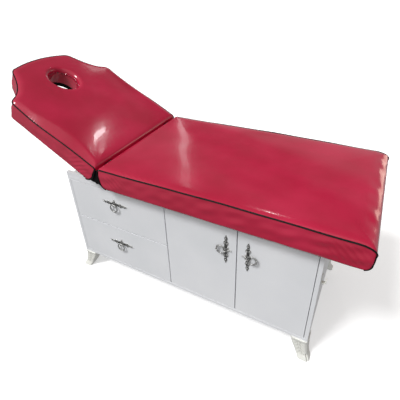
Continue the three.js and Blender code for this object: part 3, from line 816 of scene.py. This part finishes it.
def add_piping():
    """Black piping along each side of the main pad and down its corners, and round the head pad."""
    seam_low = PAD_EDGE - CORNER_DROP
    low = PAD_BOTTOM + 1.5 * MM
    for place, side in (("front", -1), ("rear", 1)):
        s = np.concatenate([
            np.linspace(FOLD_GAP, FOLD_GAP + 16 * MM, 12, endpoint=False),
            np.linspace(FOLD_GAP + 16 * MM, MAIN_LENGTH - FOOT_RUN, 150, endpoint=False),
            MAIN_LENGTH - FOOT_RUN * (1 - np.sin(np.linspace(0, math.pi / 2, 26))),
        ])
        weave = 0.5 * MM * np.sin(s / (41 * MM))
        tuck = PIPING_TUCK * smooth(s, MAIN_LENGTH - 16 * MM, MAIN_LENGTH)
        top_z = edge_height(s, MAIN_LENGTH) + weave + SEAM_RISE
        top = np.stack([s - tuck, side * (HALF_WIDTH + SEAM_OUT - tuck), top_z], 1)
        z = np.linspace(PAD_EDGE - FOOT_DROP, low, 24)[1:]
        foot_y = np.full(len(z), side * (HALF_WIDTH + SEAM_OUT - PIPING_TUCK))
        foot = np.stack([foot_face(z, MAIN_LENGTH) - PIPING_TUCK, foot_y, z], 1)
        path = np.vstack([end_run(side, low, seam_low)[:-1], top, foot])
        points, faces = tube(main_to_row(path), PIPING)
        add_piece(f"main_piping_{place}", points, faces, "cabinet", "crimson_vinyl", [BLACK_PIPING])
    outline = head_outline()
    edge = outline + outward(outline) * SEAM_OUT
    start = int(np.argmin(np.hypot(edge[:, 0] - FOLD_GAP, edge[:, 1] + HALF_WIDTH)))
    edge = np.roll(edge, -start, 0)
    run = edge[(edge[:, 0] > FOLD_GAP + 1 * MM) & (np.abs(edge[:, 1]) > 0)]
    top = np.column_stack([run, edge_height(run[:, 0], None) + SEAM_RISE])
    path = np.vstack([end_run(-1, low, seam_low)[:-1], top, end_run(1, seam_low, low)[1:]])
    points, faces = tube(head_to_row(path), PIPING)
    add_piece("head_piping", points, faces, "head_section", "crimson_vinyl", [BLACK_PIPING])


def add_fold_gussets():
    """Black cloth that closes the wedge between the two pads at each side of the fold; its black also stands in
    for the shade in that wedge, as painted shade.
    """
    z = np.linspace(PAD_EDGE - CORNER_DROP - 3 * MM, PAD_BOTTOM + 5 * MM, 22)
    fall = np.linspace(0, 1, len(z))
    tuck = fold_face(z, HALF_WIDTH, lip=0) + GUSSET_TUCK
    for place, side in (("front", -1), ("rear", 1)):
        edge = np.stack([tuck, np.full(len(z), side * (HALF_WIDTH - GUSSET_INSET)), z], 1)
        head, main = head_to_row(edge), main_to_row(edge)
        rows = []
        for share in np.linspace(0, 1, 25):
            row = head + (main - head) * share
            row[:, 1] -= side * 2.2 * MM * fall * (1 - math.cos(8 * math.pi * share)) / 2
            row[:, 2] -= 3 * MM * fall * abs(math.sin(5 * math.pi * share)) * math.sin(math.pi * share)
            rows.append(row)
        faces = ring_faces(len(rows), len(z), close_round=False)
        grid = np.array(rows)
        points = grid.reshape(-1, 3)
        piece = add_piece(f"fold_gusset_{place}", points, faces, None, "crimson_vinyl", [BLACK_CLOTH_AND_SHADE])
        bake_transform(piece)


add_main_pad()
add_head_pad()
add_piping()
add_fold_gussets()


# ---- cabinet boards and metal parts: the CAD shapes with eased edges ----
EASE = {
    "white_melamine": 0.9 * MM,
    "plywood": 0.8 * MM,
    "black_steel": 0.5 * MM,
    "zinc_steel": 0.25 * MM,
    "black_plastic": 1.2 * MM,
    "cream_gloss": 0.8 * MM,
}
BROAD_FACE = 3e-4  # square metres: board faces from this size up are shaded flat


def ease_node(node, slot, body):
    """A copy of a CAD node with rounded edges, which stands for it."""
    mesh = frame["nodes"][node].data.copy()
    form = bmesh.new()
    form.from_mesh(mesh)
    bmesh.ops.remove_doubles(form, verts=form.verts, dist=0.002 * MM)
    bmesh.ops.dissolve_limit(form, angle_limit=math.radians(1), verts=form.verts, edges=form.edges)
    corners = [e for e in form.edges if len(e.link_faces) == 2 and e.calc_face_angle(0) > math.radians(35)]
    bmesh.ops.bevel(
        form, geom=corners, offset=EASE[slot], segments=2, profile=0.5, affect="EDGES", clamp_overlap=True,
    )
    bmesh.ops.recalc_face_normals(form, faces=form.faces)
    form.to_mesh(mesh)
    form.free()
    mesh.materials.clear()
    mesh.materials.append(FINISHES[slot])
    mesh.shade_smooth()
    mesh.set_sharp_from_angle(angle=math.radians(38))
    for face in mesh.polygons:
        face.use_smooth = face.area < BROAD_FACE
    piece = bpy.data.objects.new(f"{node}_eased", mesh)
    bpy.context.scene.collection.objects.link(piece)
    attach(piece, body)
    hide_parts(node)


SLOT_OF = {part["node"]: part["material_slot"] for part in frame["record"]["subparts"]}
BODIES = frame["record"]["behaviour"]["bodies"]
BODY_OF = {node: body for body, nodes in BODIES.items() for node in nodes}
for node, slot in SLOT_OF.items():
    if slot in EASE and not node.startswith("foot_"):
        ease_node(node, slot, BODY_OF[node])


# ---- feet ----
FOOT_BLOCK_LOW = 82 * MM  # lower edge of the moulded block
FOOT_BLOCK_HALF = 37 * MM
FOOT_OVERHANG = 5 * MM  # how far the block stands out past the bottom board


def foot_levels():
    """Height, half width and outward shift of the foot's sections, from the top block to the sole."""
    rows = [
        (96.7, 36.2, 0), (95.5, 37, 0), (87, 37, 0), (85.5, 35.6, 0.5), (82, 34.4, 1), (66, 33, 3),
        (50, 30, 8), (36, 27, 13), (22, 25, 18), (12, 24.2, 24), (5, 25, 28), (1.2, 24.6, 30), (0, 23.4, 30),
    ]
    return np.array(rows) * MM


def foot_shape(out_x, out_y, rings=76, sides=96):
    """A bracket foot in relief: a moulded block, a carved leaf on each face and two scrolled toes."""
    rows = foot_levels()
    block = np.linspace(rows[0, 0], FOOT_BLOCK_LOW, 16, endpoint=False)
    height = np.concatenate([block, np.linspace(FOOT_BLOCK_LOW, 0, rings - 16)])
    half = np.interp(height, rows[::-1, 0], rows[::-1, 1])
    shift = np.interp(height, rows[::-1, 0], rows[::-1, 2])
    angle = 2 * math.pi * np.arange(sides) / sides
    corner = (np.abs(np.cos(angle)) ** 5 + np.abs(np.sin(angle)) ** 5) ** (-1 / 5)
    z, a = height[:, None], angle[None, :]
    face = (a + math.pi / 4) % (math.pi / 2) - math.pi / 4  # angle from the middle of its face
    outer = math.atan2(out_y, out_x)
    off = (a - outer + math.pi) % (2 * math.pi) - math.pi  # angle from the outer corner
    carved = smooth(84 * MM - z, 0, 6 * MM) * smooth(z, 14 * MM, 26 * MM)
    rib = bump(face, 0, 0.07) * 1.5 * MM
    side_veins = np.cos(2 * math.pi * (z / (15 * MM) + 2.1 * np.abs(face)))
    veins = 0.9 * MM * side_veins * bump(np.abs(face), 0.36, 0.24)
    hollow = -1.3 * MM * bump(np.abs(face), 0.16, 0.07)
    curl = 2.2 * MM * bump(np.abs(face), 0.55, 0.14) * bump(z, 58 * MM, 18 * MM)
    notch = -6.5 * MM * bump(off, 0, 0.10) * (1 - smooth(z, 16 * MM, 34 * MM))
    toe = 1.8 * MM * bump(np.abs(off), 0.34, 0.2) * bump(z, 9 * MM, 9 * MM)
    scroll = -1.4 * MM * bump(np.abs(off), 0.34, 0.34) * bump(z, 21 * MM, 3.5 * MM)
    relief = carved * (rib + veins + hollow + curl) + notch + toe + scroll
    lowered = np.minimum(relief, 1.2 * MM)
    reach = half[:, None] * corner[None, :] + lowered
    x = reach * np.cos(a) + out_x * shift[:, None]
    y = reach * np.sin(a) + out_y * shift[:, None]
    points = np.stack([x, y, np.broadcast_to(z, x.shape)], 2).reshape(-1, 3)
    faces = [tuple(f) for f in ring_faces(rings, sides)]
    faces += [tuple(range(sides)), tuple(reversed(range((rings - 1) * sides, rings * sides)))]
    return points, faces


BASE_LOW, BASE_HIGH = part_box("cabinet_bottom")
for depth_name, out_y in (("front", -1), ("rear", 1)):
    for end_name, out_x in (("head", -1), ("foot", 1)):
        node = f"foot_{depth_name}_{end_name}"
        corner_x = BASE_LOW.x if out_x < 0 else BASE_HIGH.x
        corner_y = BASE_LOW.y if out_y < 0 else BASE_HIGH.y
        inward = FOOT_OVERHANG - FOOT_BLOCK_HALF
        middle = Vector((corner_x + out_x * inward, corner_y + out_y * inward, 0))
        points, faces = moved(foot_shape(out_x, out_y), Matrix.Translation(middle))
        foot = add_piece(f"{node}_carved", points, faces, "cabinet", "cream_gloss", sharp=50)
        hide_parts(node)


# ---- handles ----
PLATE_OUTLINE = [
    (0, 14), (8, 12.5), (14, 6.5), (20, 6), (28, 10.5), (35, 11.5),
    (42, 6.5), (47, 4.5), (54, 7.5), (60, 6.5), (66, 3.5), (73, 1.2),
]
PLATE_BACK = CABINET_FRONT - 0.3 * MM
PLATE_THICK = 3 * MM
EYE_OUT = PLATE_THICK + 7.5 * MM  # how far the eyelet's middle stands out from the plate's back
RING_RADIUS = 19 * MM


def plate_half_width(along):
    a, w = np.array(PLATE_OUTLINE).T * MM
    return np.interp(np.abs(along), a, w)


def ornate_plate():
    """The back plate along X: a lobed outline with a raised spine, leaf veins and a rolled rim."""
    reach = PLATE_OUTLINE[-1][0]
    along = np.linspace(-reach, reach, 2 * reach + 1) * MM
    kernel = np.hanning(9) / np.hanning(9).sum()
    width = np.convolve(np.pad(plate_half_width(along), 4, mode="edge"), kernel, mode="valid")
    across = np.linspace(-1, 1, 25)
    a, b = along[:, None], across[None, :]
    scallop = 1 + 0.05 * np.cos(2 * math.pi * a / (7 * MM))
    z = width[:, None] * b * scallop
    dome = np.sqrt(np.clip(1 - np.abs(b) ** 2.6, 0, 1))
    slant = np.abs(a) / (5.2 * MM) - 1.6 * np.abs(b)
    veins = 0.45 * MM * np.cos(2 * math.pi * slant) * smooth(np.abs(b), 0.12, 0.4)
    spine = 0.9 * MM * bump(b, 0, 0.16)
    rim = 0.5 * MM * bump(np.abs(b), 0.86, 0.1)
    height = 1.1 * MM + dome * 1.3 * MM + dome * (veins + spine) + rim
    front = np.stack([np.broadcast_to(a, z.shape), -height, z], 2)
    back = np.stack([np.broadcast_to(a, z.shape), np.zeros(z.shape), z], 2)
    rows, cols = z.shape
    points = np.vstack([front.reshape(-1, 3), back.reshape(-1, 3)])
    quads = [tuple(f) for f in ring_faces(rows, cols, close_round=False)]
    offset = rows * cols
    faces = quads + [tuple(i + offset for i in reversed(q)) for q in quads]
    rim_loop = (
        [(0, c) for c in range(cols)] + [(r, cols - 1) for r in range(1, rows)]
        + [(rows - 1, c) for c in range(cols - 2, -1, -1)] + [(r, 0) for r in range(rows - 2, 0, -1)]
    )
    ids = [r * cols + c for r, c in rim_loop]
    for first, second in zip(ids, ids[1:] + ids[:1]):
        faces.append((first, first + offset, second + offset, second))
    return points, faces


def scroll(middle_a, middle_z, size, turn, wire):
    """A C-scroll that lies on the plate."""
    t = np.linspace(0, 1, 40)
    angle = turn + 2 * math.pi * 1.35 * t
    radius = size * (1 - 0.72 * t)
    path = np.stack([
        middle_a + radius * np.cos(angle), np.full(len(t), -2.3 * MM), middle_z + radius * np.sin(angle),
    ], 1)
    return tube(path, wire * (1 - 0.35 * t), 8)


def bead(a, z, radius, y=-2.6 * MM):
    profile = [(radius * math.sin(t) + 1e-7, -radius * math.cos(t)) for t in np.linspace(0, math.pi, 9)]
    turn = Matrix.Translation((a, y, z)) @ Matrix.Rotation(math.pi / 2, 4, "X")
    return moved(lathe(profile, 14), turn)


def handle_plate_shape():
    shapes = [ornate_plate()]
    for flip_a in (-1, 1):
        for flip_z in (-1, 1):
            start = math.pi / 2 if flip_a * flip_z > 0 else -math.pi / 2
            shapes.append(scroll(flip_a * 31 * MM, flip_z * 5.5 * MM, 5.0 * MM, start, 1.25 * MM))
            shapes.append(scroll(flip_a * 9.5 * MM, flip_z * 8.0 * MM, 4.2 * MM, -start, 1.15 * MM))
        shapes += [bead(flip_a * 44.5 * MM, 0, 2.5 * MM), bead(flip_a * 56 * MM, 0, 3.3 * MM)]
        shapes.append(bead(flip_a * 65 * MM, 0, 2.0 * MM))
    turns = np.linspace(0, 2 * math.pi, 28, endpoint=False)
    eyelet = np.stack([np.zeros(28), -EYE_OUT + 5 * MM * np.cos(turns), 5 * MM * np.sin(turns)], 1)
    shapes.append(tube(eyelet, 1.8 * MM, 10, closed=True))
    boss = [
        (1e-7, 0), (9 * MM, 0), (9.2 * MM, 1.6 * MM), (7.6 * MM, 2.6 * MM), (6.8 * MM, 4.0 * MM),
        (4.4 * MM, 4.6 * MM), (3.2 * MM, 6.4 * MM), (1e-7, 6.6 * MM),
    ]
    shapes.append(moved(lathe(boss, 28), Matrix.Rotation(math.pi / 2, 4, "X")))
    stem_path = np.stack([np.zeros(12), np.full(12, -PLATE_THICK), np.linspace(8, 21, 12) * MM], 1)
    shapes.append(tube(stem_path, np.linspace(2.9, 1.7, 12) * MM, 12))
    shapes.append(bead(0, 14.5 * MM, 2.7 * MM, -PLATE_THICK))
    shapes.append(bead(0, 21 * MM, 3.5 * MM, -PLATE_THICK))
    return merge(*shapes)


def handle_ring_shape():
    """The ring hangs from the eyelet and swells towards its lowest point."""
    turns = np.linspace(0, 2 * math.pi, 64, endpoint=False)
    y = np.full(64, -EYE_OUT)
    path = np.stack([RING_RADIUS * np.sin(turns), y, -RING_RADIUS + RING_RADIUS * np.cos(turns)], 1)
    wire = (2.5 + 1.3 * (0.5 - 0.5 * np.cos(turns)) ** 2) * MM
    ring = tube(path, wire, 12, closed=True)
    drop = bead(0, -2 * RING_RADIUS, 4.1 * MM, -EYE_OUT)
    collars = []
    for turn in (math.pi - 0.34, math.pi + 0.34):
        nearby = np.linspace(turn - 0.05, turn + 0.05, 5)
        collar = np.stack([
            RING_RADIUS * np.sin(nearby), y[:5], -RING_RADIUS + RING_RADIUS * np.cos(nearby),
        ], 1)
        collars.append(tube(collar, np.array([3.4, 4.3, 4.6, 4.3, 3.4]) * MM, 12))
    return merge(ring, drop, *collars)


QUARTER = math.pi / 2
HANDLE_TURNS = {"drawer_upper": 0, "drawer_lower": 0, "door_left": QUARTER, "door_right": -QUARTER}
for owner, turn in HANDLE_TURNS.items():
    eye = Vector(JOINTS[f"{owner}_ring_swing"]["pos_m"])
    place = Matrix.Translation((eye.x, PLATE_BACK, eye.z)) @ Matrix.Rotation(turn, 4, "Y")
    plate = add_piece(f"{owner}_plate_ornate", *moved(handle_plate_shape(), place), owner, "pewter", sharp=60)
    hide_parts(f"{owner}_handle_plate")
    ring = add_piece(f"{owner}_ring_cast", *moved(handle_ring_shape(), place), f"{owner}_ring", "pewter")
    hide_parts(f"{owner}_ring")


# ---- screws in the door hinges, which show when the bed is opened ----
def screw_shape(radius):
    """A countersunk screw head with a cross recess, facing +Z."""
    sides = 32
    turns = 2 * math.pi * np.arange(sides) / sides
    cross = np.minimum(np.abs(np.sin(turns)), np.abs(np.cos(turns))) < 0.2
    profile = [
        (1e-7, -0.35), (0.3, -0.3), (0.55, 0.05), (0.8, 0.28), (0.97, 0.16), (1.0, 0.0), (1e-7, -0.5),
    ]
    rings = []
    for index, (r, h) in enumerate(profile):
        depth = np.where(cross & (index in (1, 2)), h - 0.32, h)
        rings.append(np.stack([r * np.cos(turns), r * np.sin(turns), depth], 1) * radius)
    return np.vstack(rings), [tuple(f) for f in ring_faces(len(rings), sides)]


def add_screws(name, places, facing, radius, body, slot="zinc_steel"):
    turn = Vector(facing).to_track_quat("Z", "Y").to_matrix().to_4x4()
    shapes = [moved(screw_shape(radius), Matrix.Translation(p) @ turn) for p in places]
    add_piece(name, *merge(*shapes), body, slot, sharp=50)


for door, wall_side in (("door_left", 1), ("door_right", -1)):
    for spot in ("lower", "upper"):
        low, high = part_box(f"{door}_hinge_{spot}")
        middle_z = (low.z + high.z) / 2
        plate_x = (low.x if wall_side > 0 else high.x) + wall_side * 2.7 * MM
        places = [
            (plate_x, high.y - 8 * MM, middle_z + dz) for dz in (-17 * MM, 17 * MM)
        ]
        add_screws(f"{door}_hinge_{spot}_screws", places, (wall_side, 0, 0), 3.6 * MM, "cabinet")
